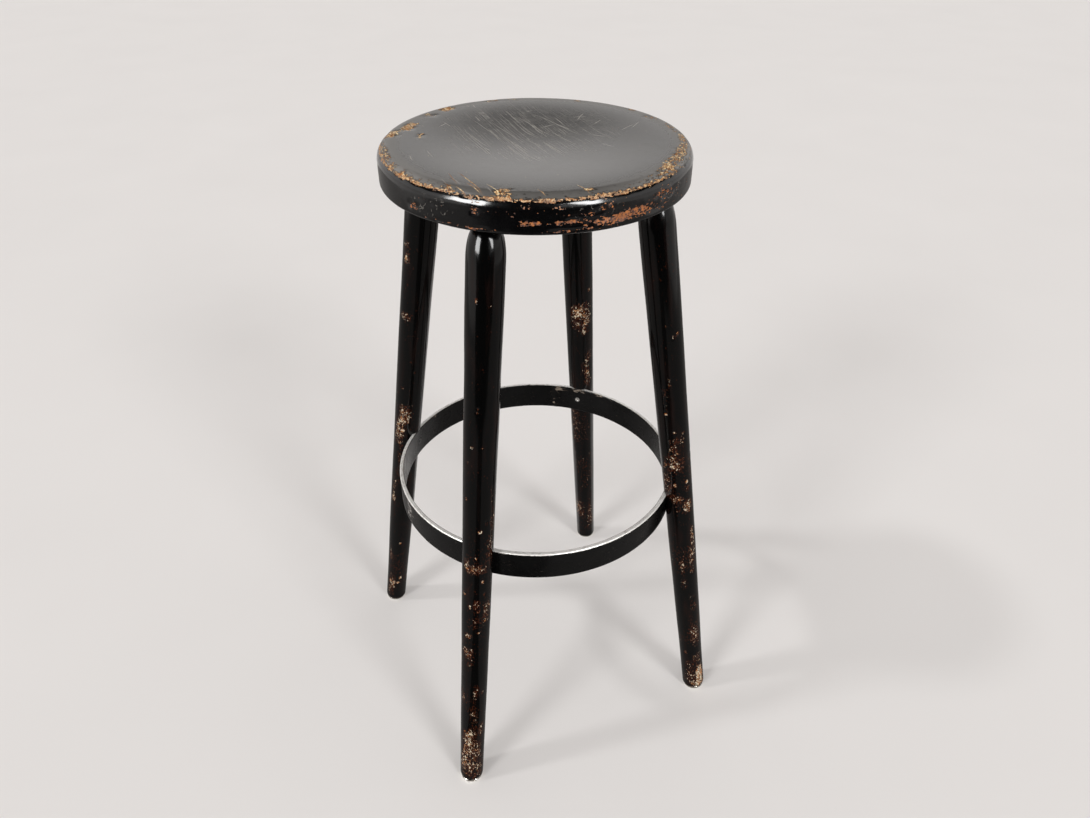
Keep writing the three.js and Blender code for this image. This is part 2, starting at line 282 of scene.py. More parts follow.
def turned(profile, columns):
    """Rows of rings from a profile of (radius, height): each is radius (cos a, sin a) at its height."""
    angle = np.linspace(0, 2 * np.pi, columns, endpoint=False)
    radius, height = profile[:, :1], profile[:, 1:]
    return np.stack([radius * np.cos(angle), radius * np.sin(angle), height + 0 * angle], axis=-1)


def outward(profile):
    """Unit normals of a profile with its solid on the left: its tangent turned by -90 degrees."""
    along = np.gradient(profile, axis=0)
    normal = np.column_stack([along[:, 1], -along[:, 0]])
    return normal / np.maximum(np.hypot(*normal.T), 1e-9)[:, None]


def swollen(rings, profile, amount):
    """Rings moved along the profile's normals by an amount at each point, but not at the axis."""
    normal = turned(outward(profile), rings.shape[1])
    off_axis = np.minimum(profile[:, 0], 1)[:, None, None]
    return rings + normal * amount[..., None] * off_axis


def uneven(seed, spacing, points):
    """A smooth unevenness of about -1 to 1 at points: a sum of sine waves in random directions.

    The wavelengths lie between the spacing in millimetres and three times that.
    """
    random = np.random.default_rng(seed)
    total = np.zeros(points.shape[:-1])
    for _ in range(WAVES):
        direction = random.normal(size=3)
        step = direction / np.linalg.norm(direction) / (spacing * random.uniform(1, 3))
        total += np.sin(2 * np.pi * (points @ step + random.uniform()))
    return total / np.sqrt(WAVES)


def bell(distance, half_width):
    """A smooth hump with a broad top: exp(-(distance / half width)^4)."""
    return np.exp(-((distance / half_width) ** 4))


def degrees_apart(azimuth, other):
    """The signed difference between two directions in degrees, from -180 to 180."""
    return (azimuth - other + 180) % 360 - 180


def azimuths(points):
    """The direction of points round the Z axis, in degrees."""
    return np.degrees(np.arctan2(points[..., 1], points[..., 0]))


def radii(points):
    """The distance of points from the Z axis."""
    return np.hypot(points[..., 0], points[..., 1])


def corner_place(corner, x, z, tilt):
    """Where a piece's own axes lie: tilted about Y, x outwards, z up, and turned to its corner."""
    turn = Matrix.Rotation(np.radians(CORNERS[corner]), 4, "Z")
    place = turn @ Matrix.Translation((x, 0, z)) @ Matrix.Rotation(tilt, 4, "Y")
    return np.array(place)


def leg_place(corner):
    """A leg's lathe axes: Z up its axis from where that meets the floor, X outwards."""
    foot = SEAT_RADIUS - LEG_INSET + UNDERSIDE * np.tan(SPLAY)
    return corner_place(corner, foot, 0, -SPLAY)


def screw_place(corner):
    """A ring screw's axes: Z outwards along the screw, from the hoop's inner face."""
    return corner_place(corner, HOOP_INNER, HOOP_MIDDLE, np.pi / 2)


def glide_place(corner):
    """A glide's axes: upright, under the middle of the leg's foot."""
    out = SEAT_RADIUS - LEG_INSET + (UNDERSIDE - FOOT_LEVEL) * np.tan(SPLAY)
    return corner_place(corner, out, 0, 0)


def moved(points, place):
    """Points taken from a place's own axes to the stool's."""
    return points @ place[:3, :3].T + place[:3, 3]


def moved_back(points, place):
    """Points taken from the stool's axes to a place's own."""
    return (points - place[:3, 3]) @ place[:3, :3]


def placed(name, data):
    """A new object in the scene with its mesh, lamp or camera."""
    made = bpy.data.objects.new(name, data)
    bpy.context.scene.collection.objects.link(made)
    return made


def skin(name, rings, hollow=False):
    """A closed mesh over rows of rings in millimetres, each row joined to the next by four-sided faces.

    The first and last rows are points on the axis, each one vertex with a fan of triangles. On a hollow
    piece, such as a hoop, the last row joins the first instead.
    """
    rows, columns = rings.shape[:2]
    if hollow:
        points = rings.reshape(-1, 3)
        ring = np.arange(rows * columns).reshape(rows, columns)
        ring = np.vstack([ring, ring[:1]])
        fans = []
    else:
        points = np.vstack([rings[0, :1], rings[1:-1].reshape(-1, 3), rings[-1, :1]])
        ring = 1 + np.arange((rows - 2) * columns).reshape(rows - 2, columns)
        first = np.zeros(columns, int)
        last = first + len(points) - 1
        low = np.column_stack([first, np.roll(ring[0], -1), ring[0]])
        high = np.column_stack([last, ring[-1], np.roll(ring[-1], -1)])
        fans = np.vstack([low, high]).tolist()
    after = np.roll(ring, -1, axis=1)
    quads = np.stack([ring[:-1], after[:-1], after[1:], ring[1:]], axis=-1).reshape(-1, 4)
    mesh = bpy.data.meshes.new(name)
    mesh.from_pydata((points * MM).tolist(), [], quads.tolist() + fans)
    return placed(name, mesh)


def bar(radius, low, high, place=None, columns=LEG_COLUMNS):
    """A plain round bar along a place's Z axis, to cut with."""
    rings = turned(np.array([(0, low), (radius, low), (radius, high), (0, high)], float), columns)
    return skin("cutter", rings if place is None else moved(rings, place))


def cut(piece, cutters):
    """Cuts closed shapes out of a piece for good, and removes the cutters."""
    for cutter in cutters:
        modifier = piece.modifiers.new("cut", "BOOLEAN")
        modifier.operation = "DIFFERENCE"
        modifier.solver = "MANIFOLD"
        modifier.object = cutter
    piece.data = bpy.data.meshes.new_from_object(
        piece.evaluated_get(bpy.context.evaluated_depsgraph_get())
    )
    piece.modifiers.clear()
    for cutter in cutters:
        bpy.data.objects.remove(cutter)


def vertices(piece):
    """A piece's vertices as rows in millimetres."""
    flat = np.empty(3 * len(piece.data.vertices), np.float32)
    piece.data.vertices.foreach_get("co", flat)
    return flat.reshape(-1, 3).astype(float) / MM


def mark(piece, name, values):
    """Keeps one number, or one vector, for each vertex under a name that a material reads."""
    kind, field = ("FLOAT", "value") if values.ndim == 1 else ("FLOAT_VECTOR", "vector")
    layer = piece.data.attributes.new(name, kind, "POINT")
    layer.data.foreach_set(field, values.astype(np.float32).ravel())


def finish_piece(piece, node, material, sharp=35):
    """Smooths a piece but for its sharp edges, gives it its finish and puts it in its node's place."""
    piece.data.shade_smooth()
    piece.data.set_sharp_from_angle(angle=np.radians(sharp))
    piece.data.materials.clear()
    piece.data.materials.append(material)
    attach(piece, "root")
    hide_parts(node)


def up_the_rim(points):
    """Distance along the seat's skin from the foot of the rim's rounding, up over it and inwards.

    It is rim round times the angle on the rounding, plus the way in across the top, minus the way down
    the side and in across the underside.
    """
    radius = radii(points)
    past = radius - (SEAT_RADIUS - RIM_ROUND)
    above = points[..., 2] - (SEAT_TOP - RIM_ROUND)
    turn = np.arctan2(np.maximum(above, 0), np.maximum(past, 1e-6))
    under = np.where(points[..., 2] < UNDERSIDE + 0.5, SEAT_RADIUS - UNDER_ROUND - radius, 0)
    inwards = np.where(above > 0, np.maximum(-past, 0), 0)
    return RIM_ROUND * turn + inwards + np.minimum(above, 0) - under


def wear(azimuth, across, places):
    """How far a finish has gone, by azimuth and by distance across: a bell over each worn place."""
    worn = np.zeros(azimuth.shape)
    for direction, half_length, place, half_width, strength in places:
        reach = bell(degrees_apart(azimuth, direction), half_length) * bell(across - place, half_width)
        worn += strength * reach
    return worn


def seat_wear(points, places=SEAT_WEAR):
    """How far the lacquer has gone at points on the seat."""
    return wear(azimuths(points), up_the_rim(points) - WEAR_LINE, places)


def make_seat(material):
    """The turned board: flat below, rounded at the side, and dished on top.

    The dish is DISH_DEPTH (1 - (r / DISH_RADIUS)^2)^2 deep. The skin waves by a tenth of a millimetre,
    as rubbed lacquer does, and is dented where the rim is worn.
    """
    out = np.linspace(1, 0, 62)
    profile = np.vstack([
        straight((0, UNDERSIDE), (SEAT_RADIUS - UNDER_ROUND, UNDERSIDE), 20),
        arc(SEAT_RADIUS - UNDER_ROUND, UNDERSIDE + UNDER_ROUND, UNDER_ROUND, -90, 0, 7),
        straight((SEAT_RADIUS, UNDERSIDE + UNDER_ROUND), (SEAT_RADIUS, SEAT_TOP - RIM_ROUND), 13),
        arc(SEAT_RADIUS - RIM_ROUND, SEAT_TOP - RIM_ROUND, RIM_ROUND, 0, 90, 22),
        straight((SEAT_RADIUS - RIM_ROUND, SEAT_TOP), (DISH_RADIUS, SEAT_TOP), 3),
        np.column_stack([DISH_RADIUS * out, SEAT_TOP - DISH_DEPTH * (1 - out**2) ** 2]),
    ])
    rings = turned(profile, SEAT_COLUMNS)
    dents = seat_wear(rings) * np.maximum(0, uneven(3, SEAT_DENT_WAVE, rings) + 0.2)
    ripple = SEAT_RIPPLE * uneven(1, SEAT_WAVE, rings)
    rings = swollen(rings, profile, ripple - SEAT_DENT * np.minimum(dents, 1))
    piece = skin("seat_board", rings)
    sockets = [
        bar(TENON_RADIUS + FIT_GAP, NECK_START, TENON_END + FIT_GAP, leg_place(corner))
        for corner in CORNERS
    ]
    cut(piece, sockets)
    points = vertices(piece)
    around = SEAT_RADIUS * points[:, :2] / np.maximum(radii(points), 1)[:, None]
    rise = up_the_rim(points)
    # A painted sheen inside the wear line, a lighter grey for reflected light, mostly left off on the
    # side that faces the camera
    camera_side = CAMERA_SIDE_SHARE * bell(degrees_apart(azimuths(points), CAMERA_SIDE_AZIMUTH), CAMERA_SIDE_HALF_LENGTH)
    sheen_band = np.clip((WEAR_LINE + SHEEN_WIDTH + SHEEN_FADE - rise) / SHEEN_FADE, 0, 1)
    mark(piece, "worn", seat_wear(points))
    mark(piece, "scraped", seat_wear(points, SEAT_SCRAPES))
    mark(piece, "rubbed", np.clip((rise - WEAR_LINE + 0.5) / 2.5, 0, 1))
    mark(piece, "painted_sheen", sheen_band * (1 - camera_side))
    mark(piece, "scuffed", bell(radii(points - (SCUFF_X, SCUFF_Y, 0)), SCUFF_RADIUS))
    mark(piece, "rim_place", np.column_stack([around, rise]) * MM)
    finish_piece(piece, "seat", material)


def shaft_radius(along):
    """Radius of a leg's shaft: a straight taper and a swell of 4 LEG_SWELL s (1 - s), s from 0 to 1."""
    share = (along - FOOT_END) / (SHOULDER_START - FOOT_END)
    taper = (FOOT_DIAMETER + (SHOULDER_DIAMETER - FOOT_DIAMETER) * share) / 2
    return taper + 4 * LEG_SWELL * share * (1 - share)


def leg_profile():
    """A leg from foot to tenon: a round, the shaft, a quarter ellipse as shoulder, tenon and bevel."""
    along = np.linspace(FOOT_END + FOOT_ROUND, SHOULDER_START, 560, endpoint=False)
    rise = np.radians(np.linspace(0, 90, 26, endpoint=False))
    width = SHOULDER_DIAMETER / 2 - TENON_RADIUS
    shoulder = np.column_stack([
        TENON_RADIUS + width * np.cos(rise),
        SHOULDER_START + SHOULDER_HEIGHT * np.sin(rise),
    ])
    return np.vstack([
        straight((0, FOOT_END), (FOOT_FLAT, FOOT_END), 6),
        arc(FOOT_FLAT, FOOT_END + FOOT_ROUND, FOOT_ROUND, -90, 0, 8),
        np.column_stack([shaft_radius(along), along]),
        shoulder,
        straight((TENON_RADIUS, NECK_START), (TENON_RADIUS, TENON_END - TENON_BEVEL), 12),
        straight((TENON_RADIUS, TENON_END - TENON_BEVEL), (TENON_RADIUS - TENON_BEVEL, TENON_END), 3),
        straight((TENON_RADIUS - TENON_BEVEL, TENON_END), (0, TENON_END), 4),
        [(0, TENON_END)],
    ])


def leg_wear(corner, points):
    """How far the lacquer has gone at points in a leg's lathe axes: a bell over each worn place."""
    angle = azimuths(points)
    worn = np.zeros(angle.shape)
    for along, direction, half_length, half_width, strength in LEG_WEAR[corner]:
        sideways = np.radians(degrees_apart(angle, direction)) * radii(points)
        worn += strength * bell(points[..., 2] - along, half_length) * bell(sideways, half_width)
    return worn


def make_leg(corner, seed, material):
    """A turned leg, waving by a seventh of a millimetre, its foot cut level, housed for the hoop and
    drilled for the ring screw and the glide's nail."""
    profile = leg_profile()
    rings = turned(profile, LEG_COLUMNS)
    fitted = (profile[:, 1] < NECK_START)[:, None]
    dents = leg_wear(corner, rings) * np.maximum(0, uneven(seed + 1, LEG_DENT_WAVE, rings))
    ripple = LEG_RIPPLE * uneven(seed, LEG_WAVE, rings)
    rings = swollen(rings, profile, fitted * (ripple - LEG_DENT * dents))
    place = leg_place(corner)
    piece = skin("leg_" + corner + "_turned", moved(rings, place))
    screw, nail = screw_place(corner), glide_place(corner)
    cut(piece, [
        bar(3 * FOOT_DIAMETER, -3 * FOOT_DIAMETER, FOOT_LEVEL, nail),
        bar(
            HOOP_OUTER + FIT_GAP, HOOP_BOTTOM - HOUSING_PLAY, HOOP_TOP + HOUSING_PLAY,
            columns=HOOP_COLUMNS,
        ),
        bar(SCREW_THREAD_RADIUS + FIT_GAP, 0, SCREW_LENGTH + FIT_GAP, screw),
        bar(NAIL_RADIUS + FIT_GAP, 0, GLIDE_HEIGHT + NAIL_LENGTH + FIT_GAP, nail),
    ])
    points = moved_back(vertices(piece), place)
    mark(piece, "worn", leg_wear(corner, points))
    mark(piece, "foot", bell(points[:, 2] - FOOT_END, FOOT_KNOCKS))
    mark(piece, "lathe_place", (points + (0, 0, 20 * seed)) * MM)  # so that no two legs are alike
    finish_piece(piece, "leg_" + corner, material)


def make_hoop(material):
    """The hoop: a flat bar with round edges, bent and welded.

    Its section is carried round a circle. It waves by a tenth of a millimetre, and where its ends meet
    it has a weld of bell-shaped height and a step in its top edge. Its skin is measured across the bar
    from the outer top corner: over the top and down the inner face, or less than 0 down the outer face.
    """
    edge, worn_edge, steps = BAND_EDGE, WORN_EDGE, 5
    inner, outer = HOOP_INNER, HOOP_OUTER
    profile = np.vstack([
        straight((inner + edge, HOOP_BOTTOM), (outer - edge, HOOP_BOTTOM), 3),
        arc(outer - edge, HOOP_BOTTOM + edge, edge, -90, 0, steps),
        straight((outer, HOOP_BOTTOM + edge), (outer, HOOP_TOP - worn_edge), 24),
        arc(outer - worn_edge, HOOP_TOP - worn_edge, worn_edge, 0, 90, steps),
        straight((outer - worn_edge, HOOP_TOP), (inner + edge, HOOP_TOP), 3),
        arc(inner + edge, HOOP_TOP - edge, edge, 90, 180, steps),
        straight((inner, HOOP_TOP - edge), (inner, HOOP_BOTTOM + edge), 24),
        arc(inner + edge, HOOP_BOTTOM + edge, edge, 180, 270, steps),
    ])
    rings = turned(profile, HOOP_COLUMNS)
    from_weld = degrees_apart(azimuths(rings), WELD_AZIMUTH)
    weld = WELD_HEIGHT * bell(from_weld, WELD_HALF_WIDTH) * (1 + 0.6 * uneven(21, 5, rings))
    bent = HOOP_RIPPLE * uneven(20, HOOP_WAVE, rings) / HOOP_OUTER
    rings = rings * (1 + bent[..., None] * (1, 1, 0))
    rings = swollen(rings, profile, BAND_RIPPLE * uneven(22, BAND_WAVE, rings) + weld)
    step = WELD_STEP * np.where(from_weld < 0, 1, -1) * bell(from_weld, WELD_STEP_FADE)
    rings[..., 2] += step * np.clip((rings[..., 2] - HOOP_MIDDLE) / (HOOP_TOP - HOOP_MIDDLE), 0, 1)
    piece = skin("foot_hoop", rings, hollow=True)
    head, hole, far = SCREW_HEAD_RADIUS + FIT_GAP, SCREW_THREAD_RADIUS + FIT_GAP, 3 * BAND_THICKNESS
    sink = [(0, -head), (head, -head), (head, 0), (hole, head - hole), (hole, far), (0, far)]
    sink = turned(np.array(sink), SMALL_COLUMNS)
    cut(piece, [skin("cutter", moved(sink, screw_place(corner))) for corner in CORNERS])
    points = vertices(piece)
    azimuth, radius = azimuths(points), radii(points)
    worn = sum(
        strength * bell(degrees_apart(azimuth, direction), half_length)
        for direction, half_length, strength in HOOP_WEAR
    )
    side = np.where(radius > HOOP_OUTER - BAND_THICKNESS / 2, -1, 1)
    across = HOOP_OUTER - radius + side * (HOOP_TOP - points[:, 2])
    around = HOOP_OUTER * points[:, :2] / radius[:, None]
    mark(piece, "worn", worn)
    mark(piece, "chips", wear(azimuth, across, HOOP_CHIPS))
    mark(piece, "band_place", np.column_stack([around, across]) * MM)
    mark(piece, "weld", bell(degrees_apart(azimuth, WELD_AZIMUTH), WELD_ROUGH))
    finish_piece(piece, "foot_ring", material)


def make_screw(corner, material):
    """A countersunk wood screw with a cross recess and a thread.

    The head's face dips by RECESS_DEPTH (1 - r / reach)^(1/3) inside the arms of the cross. The thread
    is a ridge that climbs by its pitch in each turn: its height follows the distance to the nearest one.
    """
    head = SCREW_HEAD_RADIUS
    neck = head - SCREW_CORE_RADIUS
    start = neck + PLAIN_SHANK
    rows = int((SCREW_LENGTH - start) / (THREAD_PITCH / 6))
    profile = np.vstack([
        straight((0, 0), (head - SCREW_EDGE, 0), 22),
        arc(head - SCREW_EDGE, SCREW_EDGE, SCREW_EDGE, -90, 0, 4),
        straight((head, SCREW_EDGE), (SCREW_CORE_RADIUS, neck), 6),
        straight((SCREW_CORE_RADIUS, neck), (SCREW_CORE_RADIUS, start), 4),
        straight((SCREW_CORE_RADIUS, start), (SCREW_CORE_RADIUS, SCREW_LENGTH), rows),
        [(0, SCREW_LENGTH)],
    ])
    rings = turned(profile, SMALL_COLUMNS)
    angle = np.linspace(0, 1, SMALL_COLUMNS, endpoint=False)
    along = rings[..., 2]
    ridge = np.abs((along / THREAD_PITCH - angle) % 1 - 0.5) * 2
    depth = SCREW_THREAD_RADIUS - SCREW_CORE_RADIUS
    growing = np.clip((along - start) / THREAD_PITCH, 0, 1)
    radius = SCREW_CORE_RADIUS + depth * growing * ridge**3
    radius = radius * np.clip((SCREW_LENGTH - along) / SCREW_POINT, 0.04, 1)
    threaded = (along >= start) & (along < SCREW_LENGTH - 1e-6)
    scale = np.where(threaded, radius / np.maximum(profile[:, :1], 1e-6), 1)
    rings[..., :2] *= scale[..., None]
    x, y = np.abs(rings[..., 0]), np.abs(rings[..., 1])
    inside = np.clip((RECESS_ARM / 2 - np.minimum(x, y)) / 0.18 + 0.5, 0, 1)
    reach = np.clip(1 - np.maximum(x, y) / RECESS_REACH, 0, 1)
    recess = inside * RECESS_DEPTH * np.cbrt(reach)
    face = (along < 1e-6) & (profile[:, :1] < head - 0.3)
    rings[..., 2] += np.where(face, recess, 0)
    piece = skin("ring_screw_" + corner + "_zinc", moved(rings, screw_place(corner)))
    points = moved_back(vertices(piece), screw_place(corner))
    bare = BARE_SCREWS[corner] * bell(radii(points) - BARE_RADIUS, 1)
    mark(piece, "painted", bell(points[:, 2], PAINTED_DEPTH) * (1 - bare))
    mark(piece, "own_place", points * MM)
    finish_piece(piece, "ring_screw_" + corner, material)


def make_glide(corner, material):
    """The pressed cup of a glide, open upwards, with walls of one thickness and a round lower edge."""
    flat = GLIDE_RADIUS - GLIDE_ROUND
    lip = GLIDE_WALL / 2
    inner = GLIDE_RADIUS - GLIDE_WALL
    profile = np.vstack([
        straight((0, 0), (flat, 0), 12),
        arc(flat, GLIDE_ROUND, GLIDE_ROUND, -90, 0, 8),
        straight((GLIDE_RADIUS, GLIDE_ROUND), (GLIDE_RADIUS, GLIDE_HEIGHT - lip), 3),
        arc(GLIDE_RADIUS - lip, GLIDE_HEIGHT - lip, lip, 0, 180, 8),
        straight((inner, GLIDE_HEIGHT - lip), (inner, GLIDE_ROUND), 3),
        arc(flat, GLIDE_ROUND, GLIDE_ROUND - GLIDE_WALL, 0, -90, 6),
        straight((flat, GLIDE_WALL), (0, GLIDE_WALL), 6),
        [(0, GLIDE_WALL)],
    ])
    rings = turned(profile, SMALL_COLUMNS)
    piece = skin("glide_cup_" + corner, moved(rings, glide_place(corner)))
    finish_piece(piece, "glide_cap_" + corner, material)


def make_nail(corner, material):
    """The nail of a glide: a flat head that fills the cup, a round shank and a point."""
    low = GLIDE_WALL + FIT_GAP
    head = GLIDE_RADIUS - NAIL_HEAD_INSET
    tip = GLIDE_HEIGHT + NAIL_LENGTH
    edge = 0.4
    profile = np.vstack([
        straight((0, low), (head - edge, low), 6),
        arc(head - edge, low + edge, edge, -90, 0, 4),
        straight((head, low + edge), (head, GLIDE_HEIGHT), 3),
        straight((head, GLIDE_HEIGHT), (NAIL_RADIUS, GLIDE_HEIGHT), 5),
        straight((NAIL_RADIUS, GLIDE_HEIGHT), (NAIL_RADIUS, tip - NAIL_POINT), 8),
        straight((NAIL_RADIUS, tip - NAIL_POINT), (0, tip), 6),
        [(0, tip)],
    ])
    rings = turned(profile, SMALL_COLUMNS)
    piece = skin("glide_pin_" + corner, moved(rings, glide_place(corner)))
    finish_piece(piece, "glide_nail_" + corner, material)


# Sockets of a colour Mix node, which share their names with its other kinds
FACTOR, UNDER, OVER, BLEND = 0, 6, 7, 2


def add_node(tree, kind, inputs, out=0, **settings):
    """Adds a shader node with its settings, values and links, and returns one of its outputs, if any.

    A value that is a hex code stands for its colour. Materials call it as add, with their tree given.
    """
    made = tree.nodes.new("ShaderNode" + kind)
    for name, value in settings.items():
        setattr(made, name, value)
    for name, value in inputs.items():
        if isinstance(value, bpy.types.NodeSocket):
            tree.links.new(value, made.inputs[name])
        else:
            made.inputs[name].default_value = colour(value) if isinstance(value, str) else value
    return made.outputs[out] if made.outputs else None


def colour(hex_code):
    """An sRGB colour written as a hex code, in linear light."""
    share = np.array([int(hex_code[i : i + 2], 16) for i in (1, 3, 5)]) / 255
    linear = np.where(share <= 0.04045, share / 12.92, ((share + 0.055) / 1.055) ** 2.4)
    return (*linear.tolist(), 1.0)


def new_material(name):
    """An empty material, and what adds a node to it."""
    material = bpy.data.materials.new(name)
    material.use_nodes = True
    material.node_tree.nodes.clear()
    return material, partial(add_node, material.node_tree)


def mottled(add, place, size, detail, roughness=0.5, turn=0):
    """Soft random mottling, 0 to 1: its spots have one width in mm, or a length along each axis.

    A turn in radians gives another pattern of the same kind.
    """
    sizes = size if isinstance(size, tuple) else (size, size, size)
    where = {"Vector": place, "Scale": [PER_MM / length for length in sizes], "Rotation": (0, 0, turn)}
    noise = {"Vector": add("Mapping", where), "Scale": 1, "Detail": detail, "Roughness": roughness}
    return add("TexNoise", noise)


def spots(add, place, size, detail, low, high, most=1.0, **more):
    """The spots of a mottling: 0 where it lies below low, and rising to most where it passes high."""
    noise = mottled(add, place, size, detail, **more)
    return add("MapRange", {"Value": noise, "From Min": low, "From Max": high, "To Max": most})


def plus(add, start, *shares):
    """A start with some values added to it, each times its share."""
    for value, share in shares:
        start = add("Math", {0: value, 1: share, 2: start}, operation="MULTIPLY_ADD")
    return start


def coats(add, under, *layers):
    """Colours laid over one another: each hides what is under it as far as its share, 0 to 1."""
    for share, over in layers:
        under = add("Mix", {FACTOR: share, UNDER: under, OVER: over}, BLEND, data_type="RGBA")
    return under


def cover(add, shader, *relief):
    """Ends a material with its shader's values and its relief: patterns, each with its height in mm."""
    if relief:
        shader["Normal"] = add("Bump", {"Height": plus(add, 0.0, *relief), "Distance": MM})
    add("OutputMaterial", {"Surface": add("BsdfPrincipled", shader)})


def bare_beech(add, place, fibre, fresh):
    """Wood laid bare under lacquer: golden or pale where it is fresh, brown where dirt has got in.

    fibre is the size of the grain in mm along each axis, and fresh runs from 0 to 1.
    """
    pale = spots(add, place, fibre, 4, 0.47, 0.55, roughness=0.7)
    dirty = spots(add, place, 3.5, 4, 0.43, 0.57, roughness=0.7)
    worn_in = coats(add, "#b0641e", (dirty, "#4a210b"))
    golden = coats(add, "#a5681f", (pale, "#f3dfb0"))
    clean = add("MapRange", {"Value": dirty, "To Min": 1.0, "To Max": 0.25})
    clean = add("Math", {0: clean, 1: fresh}, operation="MULTIPLY")
    return coats(add, worn_in, (clean, golden))


def chipped(add, fleck_place, fleck, speck_place, speck, worn):
    """How far the lacquer has gone: a worn place broken up by two mottlings.

    fleck is the size of a fleck in mm along each axis of its place, and speck the width of a speck.
    """
    flecks = mottled(add, fleck_place, fleck, 2)
    specks = mottled(add, speck_place, speck, 1)
    return plus(add, -2.65, (flecks, 2.8), (worn, 1.0), (specks, 1.6))


def curls(add, place, where):
    """Short curling scratches, where a mottling passes its middle value, in the places given."""
    curl = mottled(add, place, 9, 3)
    curl = add("Math", {0: curl, 1: 0.5}, operation="SUBTRACT")
    curl = add("Math", {0: curl}, operation="ABSOLUTE")
    curl = add("MapRange", {"Value": curl, "From Min": 0.015, "From Max": 0.005})
    for share in (spots(add, place, 5, 1, 0.52, 0.58), where):
        curl = add("Math", {0: curl, 1: share}, operation="MULTIPLY")
    return curl


def strokes(add, place, marks, height):
    """Long scratches: each the middle of a ball of gradient, stretched and turned along its mark."""
    deepest = 0.0
    for x, y, length, width, direction in marks:
        box = {
            "Vector": place,
            "Location": (x * MM, y * MM, height * MM),
            "Rotation": (0, 0, np.radians(direction)),
            "Scale": (length / 2 * MM, width / 2 * MM, 0.1),
        }
        box = add("Mapping", box, vector_type="TEXTURE")
        stroke = add("TexGradient", {"Vector": box}, 1, gradient_type="SPHERICAL")
        deepest = add("Math", {0: stroke, 1: deepest}, operation="MAXIMUM")
    return add("MapRange", {"Value": deepest, "From Min": 0.05, "From Max": 0.5})


def seat_lacquer():
    """Black cellulose lacquer brushed on beech.

    The side keeps its gloss. The top is rubbed dull and grey by years of sitting, with fine scratches
    along the grain, and has a painted sheen inside the rim: a lighter grey that stands in for reflected
    light. Round the rim the lacquer is worn through in flecks, to golden wood with dark brown edges.
    """
    material, add = new_material("black_lacquer_on_beech_seat")
    place = add("TexCoord", {}, "Object")
    rim_place = add("Attribute", {}, "Vector", attribute_name="rim_place")
    worn, rubbed, scuffed, scraped, painted_sheen = (
        add("Attribute", {}, "Fac", attribute_name=name)
        for name in ("worn", "rubbed", "scuffed", "scraped", "painted_sheen")
    )
    # The painted sheen, a lighter grey for reflected light, lies only where the top is rubbed
    painted_sheen = add("Math", {0: painted_sheen, 1: rubbed}, operation="MULTIPLY")

    # A ragged place, off by a millimetre or so, so that no scratch runs quite straight
    warp = add("TexNoise", {"Vector": place, "Scale": PER_MM / 50, "Detail": 4}, "Color")
    warp = add("VectorMath", {0: warp, 1: (0.5, 0.5, 0.5)}, operation="SUBTRACT")
    warp = add("VectorMath", {0: warp, "Scale": 5 * MM}, operation="SCALE")
    ragged = add("VectorMath", {0: place, 1: warp}, operation="ADD")

    # Fine scratches, drawn 0.4 mm wide so that they show: most run along the grain, which is Y
    scratches = 0.0
    for direction, length, low in FINE_SCRATCHES:
        line = spots(add, ragged, (1.1, length, 60), 2, low, low + 0.05, turn=np.radians(direction))
        scratches = add("Math", {0: line, 1: scratches}, operation="MAXIMUM")
    for share in (spots(add, place, 24, 3, 0.36, 0.6), scuffed):
        scratches = add("Math", {0: scratches, 1: share}, operation="MULTIPLY")
    pale = strokes(add, ragged, PALE_SCRATCHES, SEAT_TOP)
    scratches = add("Math", {0: scratches, 1: pale}, operation="MAXIMUM")
    scratches = add("Math", {0: scratches, 1: rubbed}, operation="MULTIPLY")
    scrapes = curls(add, rim_place, scraped)
    scratches = add("Math", {0: scratches, 1: scrapes}, operation="MAXIMUM")

    # Lacquer: black at the side, grey and cloudy on top, and a painted sheen of lighter grey inside the
    # rim
    cloudy = spots(add, place, 14, 5, 0.3, 0.7, roughness=0.65)
    grey = coats(add, "#3e3d3c", (cloudy, "#514f4c"), (painted_sheen, "#83807c"))
    lacquer = coats(add, "#060607", (rubbed, grey), (scratches, "#8d8982"))

    # Where it is worn: a brown fringe, then wood, fresher on top. The flecks are 5 mm long round the rim
    # and 1.8 mm wide across it, and the specks 2 mm wide
    level = chipped(add, rim_place, (5, 5, 1.8), place, 2, worn)
    fringe = add("MapRange", {"Value": level, "From Min": 0.05, "From Max": 0.5})
    chip = add("MapRange", {"Value": level, "From Min": 0.5, "From Max": 0.55})
    rise = add("SeparateXYZ", {0: rim_place}, "Z")
    on_top = {"Value": rise, "From Min": (WEAR_LINE - 3) * MM, "From Max": WEAR_LINE * MM}
    furrow = strokes(add, ragged, DEEP_SCRATCHES, SEAT_TOP)
    furrow = add("Math", {0: furrow, 1: add("MapRange", on_top)}, operation="MULTIPLY")
    chip = add("Math", {0: chip, 1: furrow}, operation="MAXIMUM")
    fresh = {"Value": rise, "From Min": (WEAR_LINE - 9) * MM, "From Max": (WEAR_LINE + 5) * MM}
    wood = bare_beech(add, place, (0.9, 16, 0.9), add("MapRange", fresh))
    shade = coats(add, lacquer, (fringe, "#120a06"), (chip, wood))

    # Roughness: 0.12 at the side, about 0.23 on top, more under the painted sheen or where scratched,
    # 0.55 on bare wood
    gloss = add("MapRange", {"Value": rubbed, "To Min": 0.12, "To Max": 0.2})
    gloss = plus(add, gloss, (cloudy, 0.06), (painted_sheen, 0.3), (scratches, 0.12))
    gloss = add("MapRange", {"Value": chip, "To Min": gloss, "To Max": 0.55})

    # Relief: brushed unevenness, chips as deep as the lacquer, and scratches
    brushed = mottled(add, rim_place, 5, 3)
    shader = {"Base Color": shade, "Roughness": gloss}
    cover(add, shader, (brushed, 0.03), (chip, -0.16), (scratches, -0.02))
    return material


